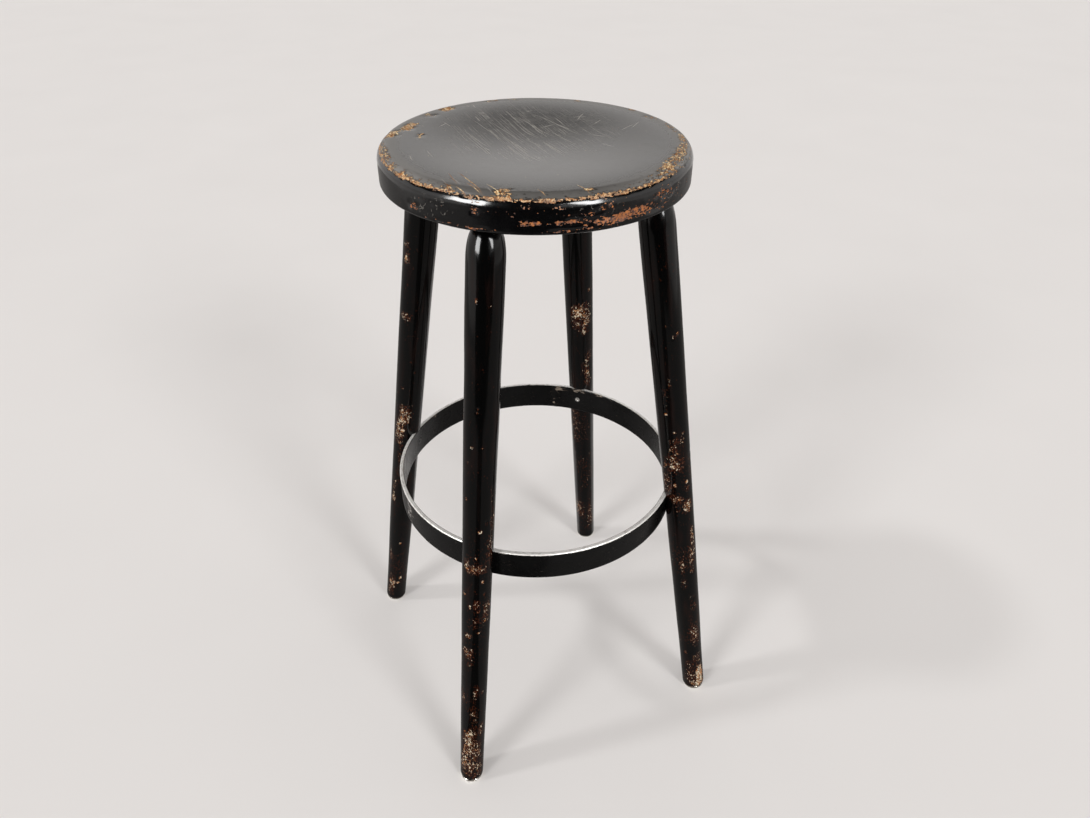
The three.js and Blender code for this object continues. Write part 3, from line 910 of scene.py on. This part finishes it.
def leg_lacquer():
    """The same black lacquer on the turned legs: a deep gloss, chipped in small flecks along the grain.

    At the foot, where shoes and brooms knock it, it is chipped most. It is worn thin and reddish here
    and there.
    """
    material, add = new_material("black_lacquer_on_beech_legs")
    place = add("Attribute", {}, "Vector", attribute_name="lathe_place")
    worn = add("Attribute", {}, "Fac", attribute_name="worn")
    foot = add("Attribute", {}, "Fac", attribute_name="foot")

    # Flecks 2.2 mm wide and 3.6 mm long, and specks 1.3 mm wide; most of them lie below the hoop
    height_up = add("SeparateXYZ", {0: add("TexCoord", {}, "Object")}, "Z")
    most = {"Value": height_up, "From Min": (HOOP_TOP + 90) * MM, "From Max": (HOOP_BOTTOM - 20) * MM}
    most = add("MapRange", {**most, "To Min": 0.3, "To Max": 0.66})
    region = spots(add, place, 35, 2, 0.35, 0.65, most)
    region = plus(add, region, (foot, 0.1), (worn, 1.0))
    level = chipped(add, place, (2.2, 2.2, 3.6), place, 1.3, region)
    fringe = add("MapRange", {"Value": level, "From Min": 0.3, "From Max": 0.8})
    chip = add("MapRange", {"Value": level, "From Min": 1.0, "From Max": 1.08})
    broken = add("MapRange", {"Value": worn, "From Min": 0.35, "From Max": 0.7})
    chip = add("Math", {0: chip, 1: curls(add, place, broken)}, operation="MAXIMUM")

    # Wood, weathered to cream in small spots and outside the large worn places
    cream = spots(add, place, 2.6, 1, 0.5, 0.56)
    apart = add("MapRange", {"Value": worn, "From Min": 0.5, "From Max": 0.1})
    cream = add("Math", {0: cream, 1: apart}, operation="MAXIMUM")
    wood = coats(add, bare_beech(add, place, (1.6, 1.6, 6), 0.3), (cream, "#cdc2aa"))

    # Thin places 60 mm long show the brown undercoat through the black
    thin = spots(add, place, (9, 9, 60), 4, 0.52, 0.8, 0.7)
    shade = coats(add, "#050505", (thin, "#1d0d09"), (fringe, "#3c1b0c"), (chip, wood))
    gloss = add("MapRange", {"Value": thin, "To Min": 0.12, "To Max": 0.24})
    gloss = add("MapRange", {"Value": chip, "To Min": gloss, "To Max": 0.6})

    # Relief: the brush's unevenness along the leg, and chips
    brushed = mottled(add, place, (4, 4, 50), 2)
    shader = {"Base Color": shade, "Roughness": gloss, "Specular IOR Level": 0.24}
    cover(add, shader, (brushed, 0.03), (chip, -0.15))
    return material


def hoop_paint():
    """Black paint brushed over hot-rolled mild steel.

    The flats have a soft gloss with brush marks round the hoop. Shoes have worn the edges to bare steel
    in a broken line, coloured near white and half matt as a painted highlight for the steel's bright
    reflection. The paint is rough at the weld.
    """
    material, add = new_material("black_paint_on_mild_steel")
    place = add("TexCoord", {}, "Object")
    band_place = add("Attribute", {}, "Vector", attribute_name="band_place")
    worn, weld, chips = (
        add("Attribute", {}, "Fac", attribute_name=name) for name in ("worn", "weld", "chips")
    )

    # Worn along the top edge, from 2.4 mm down the outer face to 5.2 mm across it, in flecks 6 mm long
    # and 2 mm wide
    across = add("SeparateXYZ", {0: band_place}, "Z")
    outer_side = add("MapRange", {"Value": across, "From Min": -2.4 * MM, "From Max": -0.4 * MM})
    inner_side = add("MapRange", {"Value": across, "From Min": 5.2 * MM, "From Max": 4 * MM})
    edge = add("Math", {0: outer_side, 1: inner_side}, operation="MULTIPLY")
    edge = add("Math", {0: edge, 1: worn, 2: chips}, operation="MULTIPLY_ADD")
    fleck = mottled(add, band_place, (6, 6, 2), 6, roughness=0.7)
    level = plus(add, -1.2, (fleck, 2.4), (edge, 1.0), (weld, 0.2))
    chip = add("MapRange", {"Value": level, "From Min": 0.5, "From Max": 0.58})
    fringe = add("MapRange", {"Value": level, "From Min": 0.3, "From Max": 0.5})

    # Bare steel is near white over most of the edge, a painted highlight for its bright reflection, and
    # browner at the inner face
    tarnish = spots(add, band_place, (6, 6, 2), 4, 0.5, 0.75, 0.6)
    browner = add("MapRange", {"Value": across, "From Min": 3.9 * MM, "From Max": 4.6 * MM})
    tarnish = add("Math", {0: tarnish, 1: browner}, operation="MAXIMUM")
    steel_and_highlight = coats(add, "#f2f0ec", (tarnish, "#85796c"))
    shade = coats(add, "#070707", (fringe, "#3a322c"), (chip, steel_and_highlight))
    gloss = add("MapRange", {"Value": mottled(add, place, 22, 4), "To Min": 0.16, "To Max": 0.4})
    gloss = add("MapRange", {"Value": chip, "To Min": gloss, "To Max": 0.42})
    # Only partly metallic, so that the near-white painted highlight shows in its matt colour
    dull_metal = add("Math", {0: chip, 1: 0.4}, operation="MULTIPLY")

    # Relief: brush marks level round the hoop, chips, and the weld's roughness
    brushed = mottled(add, place, (30, 30, 2.5), 3)
    rough = add("Math", {0: fleck, 1: weld}, operation="MULTIPLY")
    shader = {"Base Color": shade, "Metallic": dull_metal, "Roughness": gloss}
    shader["Specular IOR Level"] = 0.24
    cover(add, shader, (brushed, 0.035), (chip, -0.09), (rough, 0.5))
    return material


def zinc_plate():
    """Bright zinc on a steel screw, gone dull. Black paint has stayed in the cross and round it."""
    material, add = new_material("zinc_plated_steel")
    place = add("Attribute", {}, "Vector", attribute_name="own_place")
    painted = add("Attribute", {}, "Fac", attribute_name="painted")
    spangle = mottled(add, place, 1.2, 3)
    level = plus(add, painted, (spangle, 0.5))
    paint = add("MapRange", {"Value": level, "From Min": 0.72, "From Max": 0.86})
    bare = add("MapRange", {"Value": paint, "To Min": 1.0, "To Max": 0.0})
    shade = coats(add, "#efede9", (spangle, "#c4c0b9"), (paint, "#0f0f0f"))
    gloss = add("MapRange", {"Value": spangle, "To Min": 0.22, "To Max": 0.5})
    cover(add, {"Base Color": shade, "Metallic": bare, "Roughness": gloss}, (spangle, 0.02))
    return material


def nickel_plate():
    """Nickel on pressed steel: warm and bright at the side, scratched dull underneath by the floor."""
    material, add = new_material("nickel_plated_steel")
    place = add("TexCoord", {}, "Object")
    height_up = add("SeparateXYZ", {0: place}, "Z")
    underneath = add("MapRange", {"Value": height_up, "From Min": 0.9 * MM, "From Max": 0.1 * MM})
    streaks = mottled(add, place, (0.3, 6, 1), 3, turn=0.6)
    streaks = add("Math", {0: streaks, 1: underneath}, operation="MULTIPLY")
    dirt = spots(add, place, 2.5, 5, 0.55, 0.68, 0.8, roughness=0.7)
    shade = coats(add, "#d6d2c9", (dirt, "#6d5c49"), (underneath, "#96928b"))
    gloss = plus(add, 0.2, (dirt, 0.3), (streaks, 0.5))
    cover(add, {"Base Color": shade, "Metallic": 1.0, "Roughness": gloss}, (streaks, 0.05))
    return material


def drawn_wire():
    """Drawn steel wire of a nail: grey, faintly lined along its length, with a little rust."""
    material, add = new_material("drawn_steel_wire")
    place = add("TexCoord", {}, "Object")
    rust = spots(add, place, 1.5, 5, 0.55, 0.7, 0.7, roughness=0.7)
    shade = coats(add, "#a09d98", (rust, "#6a4227"))
    bare = add("MapRange", {"Value": rust, "To Min": 1.0, "To Max": 0.3})
    gloss = plus(add, 0.3, (rust, 0.4))
    lines = mottled(add, place, (0.2, 0.2, 8), 2)
    cover(add, {"Base Color": shade, "Metallic": bare, "Roughness": gloss}, (lines, 0.01))
    return material


def studio_paper():
    """Matt white background paper, as it lies under and behind the stool."""
    material, add = new_material("studio_paper")
    place = add("TexCoord", {}, "Object")
    tooth = add("TexNoise", {"Vector": place, "Scale": 3.0, "Detail": 2})
    shade = coats(add, "#e6e3e1", (tooth, "#e2dfdd"))
    cover(add, {"Base Color": shade, "Roughness": 0.9, "Specular IOR Level": 0.2})
    return material


def felt(shade):
    """Plain felt of a flag, a sheet of painted shade for reflections."""
    material, add = new_material("felt")
    cover(add, {"Base Color": shade, "Roughness": 1.0, "Specular IOR Level": 0.0})
    return material


FLOOR_REACH = 30.0  # metres from the stool, so that the floor's far edge lies at the horizon


def rectangle(low_x, low_y, high_x, high_y, z):
    """The corners of a level rectangle."""
    return (low_x, low_y, z), (high_x, low_y, z), (high_x, high_y, z), (low_x, high_y, z)


def sheet(name, corners, material):
    """A part of the studio: one flat face with its corners in metres."""
    mesh = bpy.data.meshes.new(name)
    mesh.from_pydata(np.array(corners, float).tolist(), [], [(0, 1, 2, 3)])
    mesh.materials.append(material)
    made = placed(name, mesh)
    return made


# Strength of the light that the studio gives to matt surfaces, and strength at which it is seen
STUDIO_LIGHT = 0.73
STUDIO_SEEN = {"Is Glossy Ray": 1.3, "Is Transmission Ray": 1.0, "Is Camera Ray": 1.0}


def make_world():
    """An even studio of the paper's tone, which gives the stool some light from all round.

    The camera sees it at full strength, and polished surfaces see it a little brighter.
    """
    world = bpy.data.worlds.new("studio")
    bpy.context.scene.world = world
    world.use_nodes = True
    world.node_tree.nodes.clear()
    add = partial(add_node, world.node_tree)
    strength = STUDIO_LIGHT
    for ray, shown in STUDIO_SEEN.items():
        seen = {"Value": add("LightPath", {}, ray), "To Min": strength, "To Max": shown}
        strength = add("MapRange", seen)
    add("OutputWorld", {"Surface": add("Background", {"Color": "#e2dfdd", "Strength": strength})})


# Flags, sheets that only polished surfaces see, so that they show dark: corners in metres and sRGB
# colour.
# They are painted shade in the reflections: a grey sheet that darkens the floor round the stool, a
# painted shadow on it, and black sheets for the unlit room in front, its floor and its ceiling.
SHADED_GROUND, PAINTED_SHADOW, DARK = "#8f8c8a", "#3c3b3a", "#0a0a0a"
FLAGS = {
    "shaded_ground_front": (*rectangle(-2.1, -1.7, 2.1, 0.22, 0.001), SHADED_GROUND),
    "shaded_ground_left": (*rectangle(-2.1, 0.22, -0.12, 2.1, 0.001), SHADED_GROUND),
    "shaded_ground_right": (*rectangle(0.5, 0.22, 2.1, 2.1, 0.001), SHADED_GROUND),
    "shaded_ground_back": (*rectangle(-0.12, 1, 0.5, 2.1, 0.001), SHADED_GROUND),
    # The painted shadow: a dark sheet on the floor in front of the stool, seen only in reflections
    "shadow": ((-0.5, -2, 0.002), (0.25, -2, 0.002), (0.03, -0.3, 0.002), (-0.16, -0.3, 0.002), PAINTED_SHADOW),
    "dark_floor": ((-6, -5, 0.003), (6, -5, 0.003), (1.4, -1.5, 0.003), (-1.4, -1.5, 0.003), DARK),
    "room": ((-6, -5, 0), (6, -5, 0), (6, -5, 6), (-6, -5, 6), DARK),
    "ceiling": (*rectangle(-9, -5, 9, 8.2, 4.2), DARK),
}


def make_flag(name, corners, shade):
    """A matt flag of painted shade, turned with the camera round the stool, that only polished surfaces
    see.
    """
    turn = np.array(Matrix.Rotation(np.radians(CAMERA_AZIMUTH), 3, "Z"))
    flag = sheet(name, np.array(corners) @ turn.T, felt(shade))
    for sight in ("camera", "diffuse", "shadow", "transmission"):
        setattr(flag, "visible_" + sight, False)


# Suns, which light the stool and the paper: azimuth and elevation in degrees, width and strength
SUNS = {
    "front_left_sun": (-156.5, 30.4, 16, 1.0),
    "front_right_sun": (-76.5, 30.4, 16, 1.0),
    "left_sun": (162.9, 50.9, 5, 0.42),
}
# Soft boxes, which polished surfaces show: azimuth and elevation, width and height in degrees, radiance
BOXES = {
    "left_box": (-162, 15, 26, 26, 26),
    "right_box": (-80, 19, 22, 26, 26),
}
BOX_DISTANCE = 6.0  # metres from the stool's seat


def aimed(azimuth, elevation):
    """A turn that puts a lamp's back towards a direction, so that it shines from there."""
    turn = Matrix.Rotation(np.radians(azimuth + 90), 4, "Z")
    return turn @ Matrix.Rotation(np.radians(90 - elevation), 4, "X")


def make_sun(name, azimuth, elevation, width, strength):
    """A lamp so far off that its light falls alike everywhere."""
    data = bpy.data.lights.new(name, "SUN")
    data.angle = np.radians(width)
    data.energy = strength
    lamp = placed(name, data)
    lamp.matrix_world = aimed(azimuth, elevation)
    lamp.visible_glossy = name == "left_sun"


def make_box(name, azimuth, elevation, width, height, radiance):
    """A soft box that only polished surfaces see: its power is pi times radiance times its area."""
    data = bpy.data.lights.new(name, "AREA")
    data.shape = "RECTANGLE"
    data.size, data.size_y = 2 * BOX_DISTANCE * np.tan(np.radians((width, height)) / 2)
    data.energy = np.pi * radiance * data.size * data.size_y
    lamp = placed(name, data)
    towards = aimed(azimuth, elevation)
    seat = Matrix.Translation((0, 0, SEAT_TOP * MM))
    lamp.matrix_world = seat @ towards @ Matrix.Translation((0, 0, BOX_DISTANCE))
    lamp.visible_diffuse = False


# The camera, from the outlines of seat, legs and hoop in the photograph
LENS = 27.783  # mm, on a sensor 36 mm wide
CAMERA_DISTANCE = 0.8652  # metres from the stool's axis
CAMERA_HEIGHT = 1.0411
CAMERA_AZIMUTH = -24.249  # degrees round the stool from the front
CAMERA_TURN = 0.738  # clockwise from the direction of the stool's axis
CAMERA_PITCH = 35.247  # below the horizon
CAMERA_ROLL = 0.251


def make_camera():
    """The camera, placed round the stool by its azimuth and turned by its heading, pitch and roll."""
    data = bpy.data.cameras.new("camera")
    data.sensor_fit = "HORIZONTAL"
    data.sensor_width = 36
    data.lens = LENS
    camera = placed("camera", data)
    round_stool = Matrix.Rotation(np.radians(CAMERA_AZIMUTH), 4, "Z")
    place = round_stool @ Matrix.Translation((0, -CAMERA_DISTANCE, CAMERA_HEIGHT))
    heading = Matrix.Rotation(np.radians(-CAMERA_TURN), 4, "Z")
    pitch = Matrix.Rotation(np.radians(90 - CAMERA_PITCH), 4, "X")
    roll = Matrix.Rotation(np.radians(CAMERA_ROLL), 4, "Z")
    camera.matrix_world = place @ heading @ pitch @ roll
    bpy.context.scene.camera = camera


make_camera()
make_world()
sheet("floor", rectangle(-FLOOR_REACH, -FLOOR_REACH, FLOOR_REACH, FLOOR_REACH, 0), studio_paper())
for name, (*corners, shade) in FLAGS.items():
    make_flag(name, corners, shade)
for name, facts in SUNS.items():
    make_sun(name, *facts)
for name, facts in BOXES.items():
    make_box(name, *facts)
bpy.context.scene.view_settings.view_transform = "Standard"

make_seat(seat_lacquer())
make_hoop(hoop_paint())
lacquer, zinc, nickel, wire = leg_lacquer(), zinc_plate(), nickel_plate(), drawn_wire()
for number, corner in enumerate(CORNERS):
    make_leg(corner, 40 + 10 * number, lacquer)
    make_screw(corner, zinc)
    make_glide(corner, nickel)
    make_nail(corner, wire)
